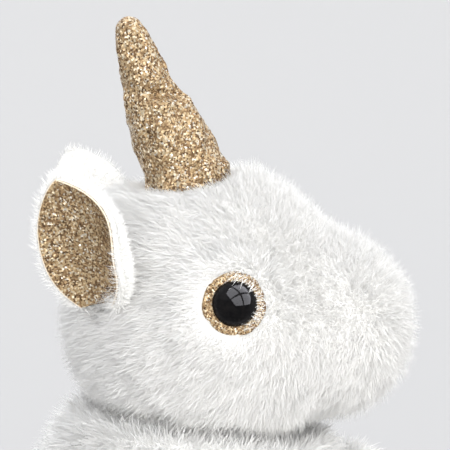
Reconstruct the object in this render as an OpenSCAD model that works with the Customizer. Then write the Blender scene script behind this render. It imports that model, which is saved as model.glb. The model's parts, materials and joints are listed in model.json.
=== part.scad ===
// Seated plush unicorn: sewn skins over fibre filling, a pellet pouch in the seat, safety eyes,
// and a horn, ear linings, eye rings and hooves of glitter fabric.
// It faces -Y, its left side is +X, and +Z is up. The origin is on the floor, midway between the
// fronts of its foremost hooves and the back of its tail.

/* [Body] */
// Radius of the belly at its widest
belly_r = 40; // [38:0.5:41]
// Height of the widest part of the belly
belly_z = 30; // [28:1:32]
// Radius of the flat seat
seat_r = 27; // [24:0.5:28]
// Forward lean of the body
body_lean = 6; // [5:0.5:7]
// Thickness of a plush skin, with its dense pile
skin_t = 3.2; // [2.8:0.1:3.4]

/* [Head] */
// Radius of the round underside and cheeks of the head
head_r = 33; // [32.5:0.25:33.5]
// Radius of the top and back of the head
crown_r = 30; // [29:0.5:31]
// Height of the head's centre, which the neck turns about
head_z = 104.5; // [104:0.25:105]
// Radius of the muzzle
muzzle_r = 20; // [19:0.5:21]
// How far the muzzle's centre lies in front of the head's centre
muzzle_ahead = 22.5; // [21:0.5:23]

/* [Eyes] */
// Diameter of the black eye dome
eye_d = 10; // [9:0.5:10.5]
// Diameter of the glitter ring behind the eye
eye_ring_d = 14; // [13:0.5:14.5]

/* [Horn] */
// Length of the horn above the head
horn_len = 39; // [36:1:40]
// Radius of the horn at its base
horn_base_r = 9.3; // [8.5:0.1:9.5]
// Backward lean of the horn
horn_lean = 20; // [14:1:22]

/* [Ears] */
// Length of an ear
ear_len = 28; // [24:1:29]
// Width of an ear
ear_w = 17.5; // [15:0.5:19]
// Radius that the ear is cupped to
ear_cup_r = 11; // [10:0.5:13]

/* [Legs] */
// Length of a foreleg, from the shoulder to the top of the hoof
foreleg_len = 31; // [28:1:32]
// Length of a hind leg, from the hip to the top of the hoof
hindleg_len = 44; // [40:1:46]
// Length of a hoof
hoof_len = 12; // [10:1:13]

/* [Hidden] */

$fn = 48;
gap = 0.4;              // between bodies that move on each other
fit = 0.2;              // between pieces of one body
touch = 0.1;            // between layers pressed together
plush = [0.95, 0.945, 0.92];
gold = [0.70, 0.57, 0.38];
black = [0.04, 0.04, 0.05];
fibre = [0.97, 0.97, 0.97];
big = 300;

// Head and neck
head_y = -2;
head_c = [0, head_y, head_z];
muzzle_c = [0, head_y - muzzle_ahead, head_z - 4];
bridge_r = 22;
bridge_c = [0, head_y - 6, head_z + 1];
forehead_r = 18;
forehead_c = [0, head_y - 3, head_z + 14.5];
crown_c = [0, head_y + 2.5, head_z + 2];
neck_cap_deg = 30;      // half angle of the filling that passes through the neck
neck_swing_deg = 15;    // room in the head for its nod
neck_cap_t = 4;
chin_relief = 3.3;      // how much lower the chest is under the chin

// Body profile, along its own leaning axis, which passes through the head's centre
base_y = head_y + head_z * tan(body_lean);
belly_top = 84;
collar_r = 20;
foot_lift = 0.6;        // the body's edge clears the floor, and the seat panel rests on it

// Pouch of pellets above the seat
pouch_r = 9;
pouch_flat_r = 13;
pouch_lift = 2.5;       // of the pouch above the seat panel
pouch_t = 0.7;

// Eyes, on the sides of the head
eye_turn = 9;           // forward of straight sideways
eye_rise = 11;
eye_seat = head_r - 0.8;
ring_t = 1;
dome_base = eye_seat + ring_t + 0.05;
dome_sphere_r = eye_d / 2 + 0.2;
dome_sunk = 1.3;        // how far the dome's centre lies behind its rim
rib_first = 0.8;        // ribs round the shank, from its end
rib_pitch = 1.3;
rib_h = 0.6;
rib_lip = 0.18;
washer_recess = 5;      // depth of the room for the washer behind the skin
shank_r = 1.6;
shank_len = 10;
washer_r = 5.5;
washer_t = 1.2;

// Horn
horn_y = 3.5;
horn_c = [0, horn_y, head_z + 30];
horn_gap = 0.8;
horn_tip_r = 2.9;
horn_skin_t = 1;

// Ears: the root, and the directions of the length and of the opening
ear_root = [18.8, head_y + 26.4, head_z + 4];
ear_lean_back = 16;     // of the length, towards the tail
ear_lean_out = 13;      // of the length, away from the head
ear_open_turn = 22;     // of the opening, from straight sideways towards the tail
ear_hinge_r = 3;
ear_hinge_len = 7;
ear_plush_t = 1.8;
ear_lining_t = 0.8;
ear_start = 2.6;        // where the leaf starts above the hinge line

// Legs
shoulder = [22.3, -33.5, 58];
shoulder_r = 9.8;
foreleg_r = 8.5;
wrist_r = 8.4;
foreleg_drop = 56;      // below horizontal
fore_hoof_r = 9.4;
hip = [45.4, -4, 15.2];
hip_r = 14.6;
hindleg_r = 11.4;
ankle_r = 11;
hind_hoof_r = 12;
hindleg_drop = 3;
hindleg_splay = 8;

// Frame: the foremost hooves and the tail's back are the same distance from the origin
hoof_toe_r = 4;
cuff_bevel = 1.2;
cuff_gap = 0.05;        // between a leg's end and its hoof
hindleg_off_y = acos(cos(hindleg_drop) * cos(hindleg_splay));
front_y = min(leg_front(hip, hindleg_len, hindleg_off_y, hind_hoof_r),
              leg_front(shoulder, foreleg_len, foreleg_drop, fore_hoof_r));
tail_r = 7;
tail_root = [0, 51, 27];
tail_end = [0, -front_y - tail_r, 13];
tail_root_r = 5;

// How far forward a hoof reaches, on a leg that points a given angle off straight ahead
function leg_front(top, length, off, hoof_r) = top[1] - (length + hoof_len - hoof_toe_r) * cos(off)
    - (hoof_r - hoof_toe_r) * sin(off) - hoof_toe_r;

// Radius of the body at a height along its axis
function body_r(z) = z < belly_z
    ? seat_r + 1 + (belly_r - seat_r - 1) * sqrt(1 - pow((belly_z - z) / belly_z, 2))
    : collar_r + (belly_r - collar_r) * sqrt(max(0, 1 - pow((z - belly_z) / (belly_top - belly_z), 2)));

// Radius of the horn at a share of its length
function horn_r(u) = horn_base_r - (horn_base_r - horn_tip_r) * (0.28 * u + 0.72 * pow(u, 2.6));

// The body's round form, grown by a distance
module body_form(grow) {
    steps = 22;
    translate([0, base_y, 0]) rotate([body_lean, 0, 0])
        rotate_extrude($fn = 72) polygon(concat(
            [[0, -8]], [[seat_r + grow, -8]],
            [for (i = [0:steps]) let (z = belly_top * i / steps)
                [body_r(z) + grow, z + grow * i / steps]],
            [[0, belly_top + grow]]));
}

// Everything above a height
module above(z) {
    translate([-big / 2, -big / 2, z]) cube(big);
}

// A band of a spherical shell round the head's centre, facing down
module neck_cap(inner, outer, half_angle) {
    translate(head_c) rotate_extrude($fn = 72) intersection() {
        difference() {
            circle(outer, $fn = 120);
            circle(inner, $fn = 120);
        }
        polygon([[0, 0], [big * sin(half_angle), -big * cos(half_angle)], [0, -big]]);
    }
}

// The hollows that the head, the neck and the four legs need in the body
module body_sockets(extra) {
    translate(head_c) sphere(head_r + gap + extra, $fn = 96);
    intersection() {
        translate(head_c) sphere(head_r + chin_relief + extra, $fn = 96);
        translate([-big / 2, head_y - 8 + extra - big, 0]) cube(big);
    }
    neck_cap(0, head_r + neck_cap_t + gap + extra, neck_cap_deg + 0.8 + extra);
    for (side = [-1, 1]) {
        translate([side * shoulder[0], shoulder[1], shoulder[2]])
            sphere(shoulder_r + gap + extra, $fn = 64);
        translate([side * hip[0], hip[1], hip[2]]) sphere(hip_r + gap + extra, $fn = 64);
    }
}

module body_skin() {
    color(plush) difference() {
        intersection() {
            body_form(0);
            above(foot_lift);
        }
        intersection() {
            difference() {
                body_form(-skin_t);
                body_sockets(skin_t);
            }
            above(skin_t + 1);
        }
        body_sockets(0);
        translate([0, base_y, -1]) cylinder(r = seat_r + fit, h = 1 + skin_t + fit);
    }
}

module seat_panel() {
    color(plush) translate([0, base_y, 0]) cylinder(r = seat_r, h = skin_t);
}

module pouch_form(grow) {
    translate([0, base_y, pouch_r + skin_t + pouch_lift]) rotate_extrude() {
        translate([pouch_flat_r, 0]) circle(pouch_r + grow);
        translate([0, -pouch_r - grow]) square([pouch_flat_r, 2 * (pouch_r + grow)]);
    }
}

module body_stuffing() {
    color(fibre) difference() {
        body_form(-skin_t - fit);
        body_sockets(skin_t + fit);
        translate([-big / 2, -big / 2, skin_t + 1 + fit - big]) cube(big);
        pouch_form(fit);
    }
}

module bean_pouch() {
    color([0.85, 0.83, 0.78]) difference() {
        pouch_form(0);
        pouch_form(-pouch_t);
    }
}

module bean_pellets() {
    color([0.8, 0.8, 0.82]) pouch_form(-pouch_t - fit);
}

module neck_stuffing() {
    color(fibre) neck_cap(head_r - neck_cap_t, head_r + neck_cap_t, neck_cap_deg);
}

// The lower half of the ball that turns in the body
module head_underside(r, sides) {
    intersection() {
        translate(head_c) sphere(r, $fn = sides);
        translate([-big / 2, -big / 2, head_z - big]) cube(big);
    }
}

// The head's outer form, grown by a distance
module head_form(grow) {
    head_underside(head_r + grow, 96);
    hull() {
        head_underside(head_r - 0.1 + grow, 44);
        translate(crown_c) sphere(crown_r + grow, $fn = 44);
        translate(forehead_c) sphere(forehead_r + grow, $fn = 40);
    }
    hull() {
        translate(muzzle_c) sphere(muzzle_r + grow, $fn = 40);
        translate(bridge_c) sphere(bridge_r + grow, $fn = 40);
    }
}

// Puts its children on the head's side, with +Z pointing out of the eye
module at_eye(side) {
    translate(head_c) mirror([side > 0 ? 0 : 1, 0, 0])
        rotate([0, 0, -eye_turn]) rotate([0, 90 - eye_rise, 0]) children();
}

// Puts its children at an ear's root, with +Z along the ear and +X out of its opening
module at_ear(side) {
    mirror([side > 0 ? 0 : 1, 0, 0]) translate(ear_root)
        rotate([0, ear_lean_out, 0]) rotate([-ear_lean_back, 0, 0])
            rotate([0, 0, ear_open_turn]) children();
}

// The hollows that the neck, horn, ears and eyes need in the head
module head_sockets(extra) {
    neck_cap(head_r - neck_cap_t - gap - extra, head_r + 10, neck_cap_deg + neck_swing_deg + extra);
    translate(horn_c) sphere(horn_base_r + horn_gap + extra, $fn = 64);
    for (side = [-1, 1]) {
        at_ear(side) rotate([90, 0, 0])
            cylinder(r = ear_hinge_r + gap + extra, h = ear_hinge_len + 2 * (gap + extra), center = true);
    }
}

module eye_bores(extra) {
    for (side = [-1, 1]) {
        at_eye(side) translate([0, 0, eye_seat - skin_t - washer_t - shank_len])
            cylinder(r = shank_r + extra, h = shank_len + washer_t + skin_t + 1);
    }
}

module head_skin() {
    color(plush) difference() {
        head_form(0);
        difference() {
            head_form(-skin_t);
            head_sockets(skin_t);
        }
        head_sockets(0);
        eye_bores(fit);
        for (side = [-1, 1]) {
            at_eye(side) translate([0, 0, eye_seat]) cylinder(r = eye_ring_d / 2 + 1, h = 10);
            at_eye(side) translate([0, 0, eye_seat - skin_t - washer_recess])
                cylinder(r = washer_r + fit, h = washer_recess);
        }
    }
}

module head_stuffing() {
    color(fibre) difference() {
        head_form(-skin_t - fit);
        head_sockets(skin_t + fit);
        eye_bores(fit);
        for (side = [-1, 1]) {
            at_eye(side) translate([0, 0, eye_seat - skin_t - washer_t - 1])
                cylinder(r = washer_r + fit, h = 20);
        }
    }
}

module eye(side) {
    color(black) at_eye(side) {
        intersection() {
            translate([0, 0, dome_base - dome_sunk]) sphere(dome_sphere_r, $fn = 64);
            translate([-10, -10, dome_base]) cube(20);
        }
        translate([0, 0, dome_base + 0.1 - shank_len]) cylinder(r = shank_r, h = shank_len);
        for (i = [0:3]) {
            translate([0, 0, dome_base - shank_len + rib_first + rib_pitch * i])
                cylinder(r1 = shank_r, r2 = shank_r + rib_lip, h = rib_h);
        }
    }
}

module eye_ring(side) {
    color(gold) at_eye(side) translate([0, 0, eye_seat]) difference() {
        cylinder(r = eye_ring_d / 2, h = ring_t);
        translate([0, 0, -1]) cylinder(r = shank_r + fit, h = ring_t + 2);
    }
}

module eye_washer(side) {
    color([0.9, 0.9, 0.88]) at_eye(side) translate([0, 0, eye_seat - skin_t - washer_t - touch])
        difference() {
            cylinder(r = washer_r, h = washer_t);
            translate([0, 0, -1]) cylinder(r = shank_r + rib_lip + 0.01, h = washer_t + 2);
        }
}

// The horn, grown by a distance: a ball at the base, and a tapering cone with a round tip
module horn_form(grow) {
    steps = 12;
    translate(horn_c) rotate([-horn_lean, 0, 0]) {
        sphere(horn_base_r + grow, $fn = 64);
        rotate_extrude($fn = 64) polygon(concat(
            [[0, 0]],
            [for (i = [0:steps]) [horn_r(i / steps) + grow, (horn_len - horn_tip_r) * i / steps]],
            [for (a = [15:15:90]) [(horn_tip_r + grow) * cos(a),
                                   horn_len - horn_tip_r + (horn_tip_r + grow) * sin(a)]]));
    }
}

module horn_cone() {
    color(gold) difference() {
        horn_form(0);
        horn_form(-horn_skin_t);
    }
}

module horn_stuffing() {
    color(fibre) horn_form(-horn_skin_t - fit);
}

// A leaf outline, cut out of a trough that opens towards +X
module ear_layer(r_in, r_out) {
    half_l = ear_len / 2;
    half_w = ear_w / 2;
    arc_r = (half_l * half_l + half_w * half_w) / (2 * half_w);
    intersection() {
        translate([ear_cup_r, 0, 0]) difference() {
            cylinder(r = r_out, h = ear_len + 5, $fn = 96);
            translate([0, 0, -1]) cylinder(r = r_in, h = ear_len + 7, $fn = 96);
        }
        translate([-5, 0, 0]) rotate([90, 0, 90]) linear_extrude(ear_cup_r + 5 - 1)
            intersection_for (side = [-1, 1])
                translate([side * (arc_r - half_w), half_l + ear_start]) circle(arc_r, $fn = 120);
    }
}

module ear_outer(side) {
    color(plush) at_ear(side) {
        ear_layer(ear_cup_r, ear_cup_r + ear_plush_t);
        rotate([90, 0, 0]) cylinder(r = ear_hinge_r, h = ear_hinge_len, center = true);
    }
}

module ear_lining(side) {
    color(gold) at_ear(side) difference() {
        ear_layer(ear_cup_r - touch - ear_lining_t, ear_cup_r - touch);
        rotate([90, 0, 0]) cylinder(r = ear_hinge_r + fit, h = 2 * ear_w, center = true);
    }
}

// Puts its children at a shoulder or hip, with +Z along the leg
module at_leg(side, top, drop, splay) {
    mirror([side > 0 ? 0 : 1, 0, 0]) translate(top)
        rotate([0, 0, splay]) rotate([90 + drop, 0, 0]) children();
}

// A ball at the joint and a slimmer limb, grown by a distance
module leg_form(ball_r, limb_r, end_r, length, grow) {
    sphere(ball_r + grow, $fn = 48);
    cylinder(r1 = limb_r + grow, r2 = end_r + grow, h = length, $fn = 48);
}

module leg_skin(ball_r, limb_r, end_r, length) {
    difference() {
        leg_form(ball_r, limb_r, end_r, length, 0);
        leg_filling(ball_r, limb_r, end_r, length, skin_t);
    }
}

module leg_filling(ball_r, limb_r, end_r, length, inset) {
    difference() {
        leg_form(ball_r, limb_r, end_r, length, -inset);
        translate([0, 0, length - inset]) cylinder(r = 2 * ball_r, h = 2 * ball_r);
    }
}

// A round hoof with a rolled toe
module hoof(r, length) {
    rotate_extrude($fn = 64) polygon(concat(
        [[0, cuff_gap], [r - cuff_bevel, cuff_gap], [r, cuff_bevel]],
        [for (a = [0:15:90]) [r - hoof_toe_r + hoof_toe_r * cos(a),
                              length - hoof_toe_r + hoof_toe_r * sin(a)]],
        [[0, length]]));
}

module foreleg_skin(side) {
    color(plush) at_leg(side, shoulder, foreleg_drop, 0)
        leg_skin(shoulder_r, foreleg_r, wrist_r, foreleg_len);
}

module foreleg_stuffing(side) {
    color(fibre) at_leg(side, shoulder, foreleg_drop, 0)
        leg_filling(shoulder_r, foreleg_r, wrist_r, foreleg_len, skin_t + fit);
}

module foreleg_hoof(side) {
    color(gold) at_leg(side, shoulder, foreleg_drop, 0) translate([0, 0, foreleg_len])
        hoof(fore_hoof_r, hoof_len);
}

module hindleg_skin(side) {
    color(plush) at_leg(side, hip, hindleg_drop, hindleg_splay)
        leg_skin(hip_r, hindleg_r, ankle_r, hindleg_len);
}

module hindleg_stuffing(side) {
    color(fibre) at_leg(side, hip, hindleg_drop, hindleg_splay)
        leg_filling(hip_r, hindleg_r, ankle_r, hindleg_len, skin_t + fit);
}

module hindleg_hoof(side) {
    color(gold) at_leg(side, hip, hindleg_drop, hindleg_splay) translate([0, 0, hindleg_len])
        hoof(hind_hoof_r, hoof_len);
}

module tail_form(grow) {
    hull() {
        translate(tail_root) sphere(tail_root_r + grow, $fn = 28);
        translate(tail_end) sphere(tail_r + grow, $fn = 28);
    }
}

module tail_skin() {
    color(plush) difference() {
        tail_form(0);
        tail_form(-skin_t);
    }
}

module tail_stuffing() {
    color(fibre) tail_form(-skin_t - fit);
}

body_skin();
seat_panel();
body_stuffing();
bean_pouch();
bean_pellets();
neck_stuffing();
head_skin();
head_stuffing();
eye(1);  // eye_left
eye(-1);  // eye_right
eye_ring(1);  // eye_ring_left
eye_ring(-1);  // eye_ring_right
eye_washer(1);  // eye_washer_left
eye_washer(-1);  // eye_washer_right
horn_cone();
horn_stuffing();
ear_outer(1);  // ear_left_outer
ear_lining(1);  // ear_left_lining
ear_outer(-1);  // ear_right_outer
ear_lining(-1);  // ear_right_lining
foreleg_skin(1);  // foreleg_left_skin
foreleg_stuffing(1);  // foreleg_left_stuffing
foreleg_hoof(1);  // foreleg_left_hoof
foreleg_skin(-1);  // foreleg_right_skin
foreleg_stuffing(-1);  // foreleg_right_stuffing
foreleg_hoof(-1);  // foreleg_right_hoof
hindleg_skin(1);  // hindleg_left_skin
hindleg_stuffing(1);  // hindleg_left_stuffing
hindleg_hoof(1);  // hindleg_left_hoof
hindleg_skin(-1);  // hindleg_right_skin
hindleg_stuffing(-1);  // hindleg_right_stuffing
hindleg_hoof(-1);  // hindleg_right_hoof
tail_skin();
tail_stuffing();
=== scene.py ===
"""The looks of the seated plush unicorn: skins, long white pile, glitter fabric, eyes and seams.

Lengths in this file are in millimetres, and become metres only where a mesh is made.
"""
import math
import json

import bpy
import bmesh
import numpy as np
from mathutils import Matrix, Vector, noise
from mathutils.bvhtree import BVHTree
from mathutils.kdtree import KDTree

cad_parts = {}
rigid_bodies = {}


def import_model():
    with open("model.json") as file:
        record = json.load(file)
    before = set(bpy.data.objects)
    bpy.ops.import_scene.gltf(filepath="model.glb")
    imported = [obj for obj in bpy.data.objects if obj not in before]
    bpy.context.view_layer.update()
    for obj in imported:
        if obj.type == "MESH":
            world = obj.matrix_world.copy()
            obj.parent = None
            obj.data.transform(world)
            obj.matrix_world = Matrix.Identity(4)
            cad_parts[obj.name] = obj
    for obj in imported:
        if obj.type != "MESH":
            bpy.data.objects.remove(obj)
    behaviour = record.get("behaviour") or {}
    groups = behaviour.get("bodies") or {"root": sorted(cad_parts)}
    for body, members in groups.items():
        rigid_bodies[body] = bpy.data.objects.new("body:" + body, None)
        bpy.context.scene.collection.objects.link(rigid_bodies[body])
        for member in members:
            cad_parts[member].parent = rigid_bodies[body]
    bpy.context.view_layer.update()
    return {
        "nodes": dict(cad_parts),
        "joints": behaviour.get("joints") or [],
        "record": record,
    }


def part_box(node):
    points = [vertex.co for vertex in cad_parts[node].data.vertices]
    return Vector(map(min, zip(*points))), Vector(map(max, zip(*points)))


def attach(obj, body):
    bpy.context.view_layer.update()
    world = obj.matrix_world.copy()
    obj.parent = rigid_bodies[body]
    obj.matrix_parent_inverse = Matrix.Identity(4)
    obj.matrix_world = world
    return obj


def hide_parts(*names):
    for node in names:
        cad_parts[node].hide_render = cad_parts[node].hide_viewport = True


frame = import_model()

MM = 0.001
RECORD = frame["record"]
JOINTS = {j["name"]: j for j in frame["joints"]}
UP = np.array([0.0, 0.0, 1.0])

# Driving sizes, in millimetres
SKIN_INSET = 1.2          # how far the backing of the plush lies inside the plush solid
# Each kind of pile: the down's length and strands per square millimetre, the same of the guard hairs, how far
# its tufts lean apart, and how far the guard hairs of a tuft gather at their tips
FUR = {
    "head": (3.0, 13.0, 5.2, 3.4, 0.16, 0.16),
    "body": (3.6, 6.5, 6.6, 2.4, 0.27, 0.35),
    "leg": (3.2, 6.5, 5.9, 2.5, 0.27, 0.35),
    "tail": (4.5, 8.0, 10.0, 4.0, 0.40, 0.50),
    "ear": (2.2, 13.0, 3.6, 5.0, 0.10, 0.12),
}
DOWN_W = 0.17             # width of a strand of down
GUARD_W = 0.11            # width of a guard hair
GATHERED = 0.3            # pile that gathers more than this has guard hairs GATHERED_W times as wide
GATHERED_W = 1.45
MAX_FACES = 180000        # of one piece of pile
FLOOR_GAP = 0.1           # how far the pile's tips stay above the floor
SEAM_DEPTH = 1.1          # how deep a seam draws the plush in
SEAM_W = 1.7              # how far from a seam the plush is drawn in
NOSE_OUT = 2.4            # how far the nose is filled out past the plush solid
EYE_SINK = 0.95           # how far the backing lies below the middle of an eye's ring
EAR_FRONT = 1.85          # reach of the ear's front half, as a share of half the lining solid's width


# ---------------------------------------------------------------- small helpers

def joint_pos(name):
    """Where a joint's axis passes, in millimetres."""
    return np.array(JOINTS[name]["pos_m"]) / MM


def joint_axis(name):
    a = np.array(JOINTS[name]["axis"], float)
    return a / np.linalg.norm(a)


def node_box(name):
    lo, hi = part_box(name)
    return np.array(lo) / MM, np.array(hi) / MM


def node_centre(name):
    lo, hi = node_box(name)
    return (lo + hi) / 2


def unit(v):
    v = np.asarray(v, float)
    return v / np.maximum(np.linalg.norm(v, axis=-1, keepdims=True), 1e-9)


def smoothstep(lo, hi, x):
    t = np.clip((x - lo) / (hi - lo), 0, 1)
    return t * t * (3 - 2 * t)


def node_verts(name):
    me = frame["nodes"][name].data
    co = np.empty(len(me.vertices) * 3)
    me.vertices.foreach_get("co", co)
    return co.reshape(-1, 3) / MM


def new_object(name, verts, faces, smooth=True):
    """A mesh object from millimetre points and a list of faces."""
    me = bpy.data.meshes.new(name)
    me.from_pydata([tuple(v) for v in np.asarray(verts) * MM], [], [tuple(int(i) for i in f) for f in faces])
    me.update()
    if smooth:
        me.polygons.foreach_set("use_smooth", [True] * len(me.polygons))
    ob = bpy.data.objects.new(name, me)
    bpy.context.scene.collection.objects.link(ob)
    return ob


def mesh_arrays(ob):
    """Points, vertex normals and triangles of an object, in millimetres."""
    me = ob.data
    me.calc_loop_triangles()
    co = np.empty(len(me.vertices) * 3)
    me.vertices.foreach_get("co", co)
    no = np.empty(len(me.vertices) * 3)
    me.vertices.foreach_get("normal", no)
    tri = np.empty(len(me.loop_triangles) * 3, dtype=np.int64)
    me.loop_triangles.foreach_get("vertices", tri)
    return co.reshape(-1, 3) / MM, no.reshape(-1, 3), tri.reshape(-1, 3)


def fractal(points, scale, octaves=3, seed=0.0):
    """Smooth noise from -1 to 1 at points in millimetres."""
    off = Vector((seed * 17.3, seed * 5.1, seed * 9.7))
    return np.array([noise.fractal(Vector(p) / scale + off, 1.0, 2.0, octaves) for p in points])


# ---------------------------------------------------------------- materials

class Nodes:
    """Short names for building a node tree."""

    def __init__(self, name):
        self.mat = bpy.data.materials.new(name)
        self.mat.use_nodes = True
        self.tree = self.mat.node_tree
        self.bsdf = self.tree.nodes["Principled BSDF"]

    def add(self, kind, **settings):
        n = self.tree.nodes.new(kind)
        for key, value in settings.items():
            setattr(n, key, value)
        return n

    def link(self, out, to):
        self.tree.links.new(out, to)

    def set(self, **values):
        for key, value in values.items():
            self.bsdf.inputs[key.replace("_", " ")].default_value = value

    def math(self, op, a, b=None, clamp=False):
        n = self.add("ShaderNodeMath", operation=op, use_clamp=clamp)
        for i, v in enumerate((a, b)):
            if v is None:
                continue
            if isinstance(v, (int, float)):
                n.inputs[i].default_value = v
            else:
                self.link(v, n.inputs[i])
        return n.outputs[0]

    def ramp(self, fac, stops):
        n = self.add("ShaderNodeValToRGB")
        n.color_ramp.elements[0].position = stops[0][0]
        n.color_ramp.elements[0].color = (*stops[0][1], 1)
        n.color_ramp.elements[1].position = stops[-1][0]
        n.color_ramp.elements[1].color = (*stops[-1][1], 1)
        for pos, col in stops[1:-1]:
            e = n.color_ramp.elements.new(pos)
            e.color = (*col, 1)
        self.link(fac, n.inputs[0])
        return n.outputs[0]

    def voronoi(self, co, scale):
        n = self.add("ShaderNodeTexVoronoi", feature="F1")
        n.inputs["Scale"].default_value = scale
        self.link(co, n.inputs["Vector"])
        return n

    def noise(self, co, scale, detail):
        n = self.add("ShaderNodeTexNoise")
        n.inputs["Scale"].default_value = scale
        n.inputs["Detail"].default_value = detail
        self.link(co, n.inputs["Vector"])
        return n.outputs["Fac"]

    def bump(self, height, strength, distance):
        """Relief on the shader's normal; the distance is in millimetres."""
        n = self.add("ShaderNodeBump")
        n.inputs["Strength"].default_value = strength
        n.inputs["Distance"].default_value = distance * MM
        self.link(height, n.inputs["Height"])
        self.link(n.outputs[0], self.bsdf.inputs["Normal"])

    def coords(self, scale):
        """Object coordinates, scaled so that 1 unit is 1/scale metres."""
        tc = self.add("ShaderNodeTexCoord")
        mp = self.add("ShaderNodeMapping")
        mp.inputs["Scale"].default_value = (scale, scale, scale)
        self.link(tc.outputs["Object"], mp.inputs[0])
        return mp.outputs[0]


def plush_backing():
    """The knitted backing and dense root of the plush, seen only where the pile parts. Its whites are a
    little darker than the strands': partly the cloth's own tone, partly painted shade at the pile's roots.
    """
    m = Nodes("plush_backing")
    co = m.coords(1000)
    cells = m.voronoi(co, 2.6)
    blotch = m.noise(co, 0.12, 4)
    mixed = m.math("ADD", m.math("MULTIPLY", cells.outputs["Distance"], 0.5), m.math("MULTIPLY", blotch, 0.5))
    # whites a little below the strands': the backing's own tone, with painted shade at the pile's roots
    whites = [(0.1, (0.975, 0.97, 0.955)), (0.5, (0.955, 0.95, 0.93)), (0.95, (0.90, 0.885, 0.86))]
    m.link(m.ramp(mixed, whites), m.bsdf.inputs["Base Color"])
    m.bump(cells.outputs["Distance"], 0.6, 0.3)
    m.set(Roughness=0.9, Sheen_Weight=0.4, Sheen_Roughness=0.5)
    return m.mat


def fibre_materials():
    """Close whites for the strands of the pile."""
    mats = []
    whites = [(0.985, 0.98, 0.965), (0.97, 0.965, 0.95), (0.99, 0.99, 0.985), (0.95, 0.94, 0.915)]
    for i, col in enumerate(whites):
        m = Nodes(f"plush_fibre_{i}")
        m.set(Base_Color=(*col, 1), Roughness=0.6, Sheen_Weight=0.2, Sheen_Roughness=0.35)
        m.bsdf.inputs["Specular IOR Level"].default_value = 0.2
        mats.append(m.mat)
    return mats


def glitter_material(name, scale, dim):
    """Cloth coated with gold flakes, so many to the millimetre, each tilted its own way. Each flake gets a
    colour from near-black bronze to near-white: partly the flakes' own tones, partly painted glints and
    painted dark reflections.
    """
    m = Nodes(name)
    co = m.coords(1000)
    flakes = m.voronoi(co, scale)
    split = m.add("ShaderNodeSeparateColor")
    m.link(flakes.outputs["Color"], split.inputs[0])
    # flake colours: gold tones, with near-black flakes as painted dark reflections and near-white flakes as
    # painted glints
    colour = m.ramp(split.outputs[0], [(at, tuple(c * dim for c in tone)) for at, tone in (
        (0.00, (0.07, 0.035, 0.012)), (0.28, (0.24, 0.14, 0.065)), (0.52, (0.47, 0.32, 0.165)),
        (0.76, (0.72, 0.55, 0.33)), (0.92, (0.95, 0.83, 0.62)), (1.00, (1.0, 0.97, 0.90)))])
    m.link(colour, m.bsdf.inputs["Base Color"])
    m.link(m.math("ADD", m.math("MULTIPLY", split.outputs[1], 0.3), 0.22), m.bsdf.inputs["Roughness"])
    geo = m.add("ShaderNodeNewGeometry")
    tilt = m.add("ShaderNodeVectorMath", operation="SUBTRACT")
    m.link(flakes.outputs["Color"], tilt.inputs[0])
    tilt.inputs[1].default_value = (0.5, 0.5, 0.5)
    scaled = m.add("ShaderNodeVectorMath", operation="SCALE")
    scaled.inputs["Scale"].default_value = 1.1
    m.link(tilt.outputs[0], scaled.inputs[0])
    total = m.add("ShaderNodeVectorMath", operation="ADD")
    m.link(geo.outputs["Normal"], total.inputs[0])
    m.link(scaled.outputs[0], total.inputs[1])
    normal = m.add("ShaderNodeVectorMath", operation="NORMALIZE")
    m.link(total.outputs[0], normal.inputs[0])
    m.link(normal.outputs[0], m.bsdf.inputs["Normal"])
    m.set(Metallic=0.55)
    return m.mat


def cloth_material(name, low, high, threads):
    """A plain weave: crossing threads, so many to the millimetre, with slight unevenness."""
    m = Nodes(name)
    co = m.coords(1000)
    waves = []
    for direction in ("X", "Y"):
        w = m.add("ShaderNodeTexWave", wave_type="BANDS", bands_direction=direction)
        w.inputs["Scale"].default_value = threads / 3
        w.inputs["Distortion"].default_value = 0.6
        m.link(co, w.inputs["Vector"])
        waves.append(w.outputs["Fac"])
    weave = m.math("MAXIMUM", waves[0], waves[1])
    uneven = m.noise(co, 0.5, 3)
    m.link(m.ramp(m.math("MULTIPLY", weave, uneven), [(0.1, low), (0.7, high)]), m.bsdf.inputs["Base Color"])
    m.bump(weave, 0.5, 0.15)
    m.set(Roughness=0.85, Sheen_Weight=0.2)
    return m.mat


def plastic_material(name, low, high, rough, specular=0.5):
    """Moulded plastic: faint mottling in its colour, and fine marks in its gloss."""
    m = Nodes(name)
    co = m.coords(1000)
    m.link(m.ramp(m.noise(co, 0.8, 3), [(0.3, low), (0.7, high)]), m.bsdf.inputs["Base Color"])
    m.link(m.math("ADD", m.math("MULTIPLY", m.noise(co, 3.0, 5), rough * 0.6), rough * 0.6),
           m.bsdf.inputs["Roughness"])
    m.bsdf.inputs["Specular IOR Level"].default_value = specular
    return m.mat


def filling_material():
    """Lofty white fibre."""
    m = Nodes("fibre_filling")
    co = m.coords(1000)
    tangle = m.noise(co, 1.2, 8)
    whites = [(0.3, (0.72, 0.72, 0.73)), (0.65, (0.93, 0.93, 0.93))]
    m.link(m.ramp(tangle, whites), m.bsdf.inputs["Base Color"])
    m.bump(tangle, 0.8, 0.6)
    m.set(Roughness=0.95, Sheen_Weight=0.5)
    return m.mat


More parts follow.
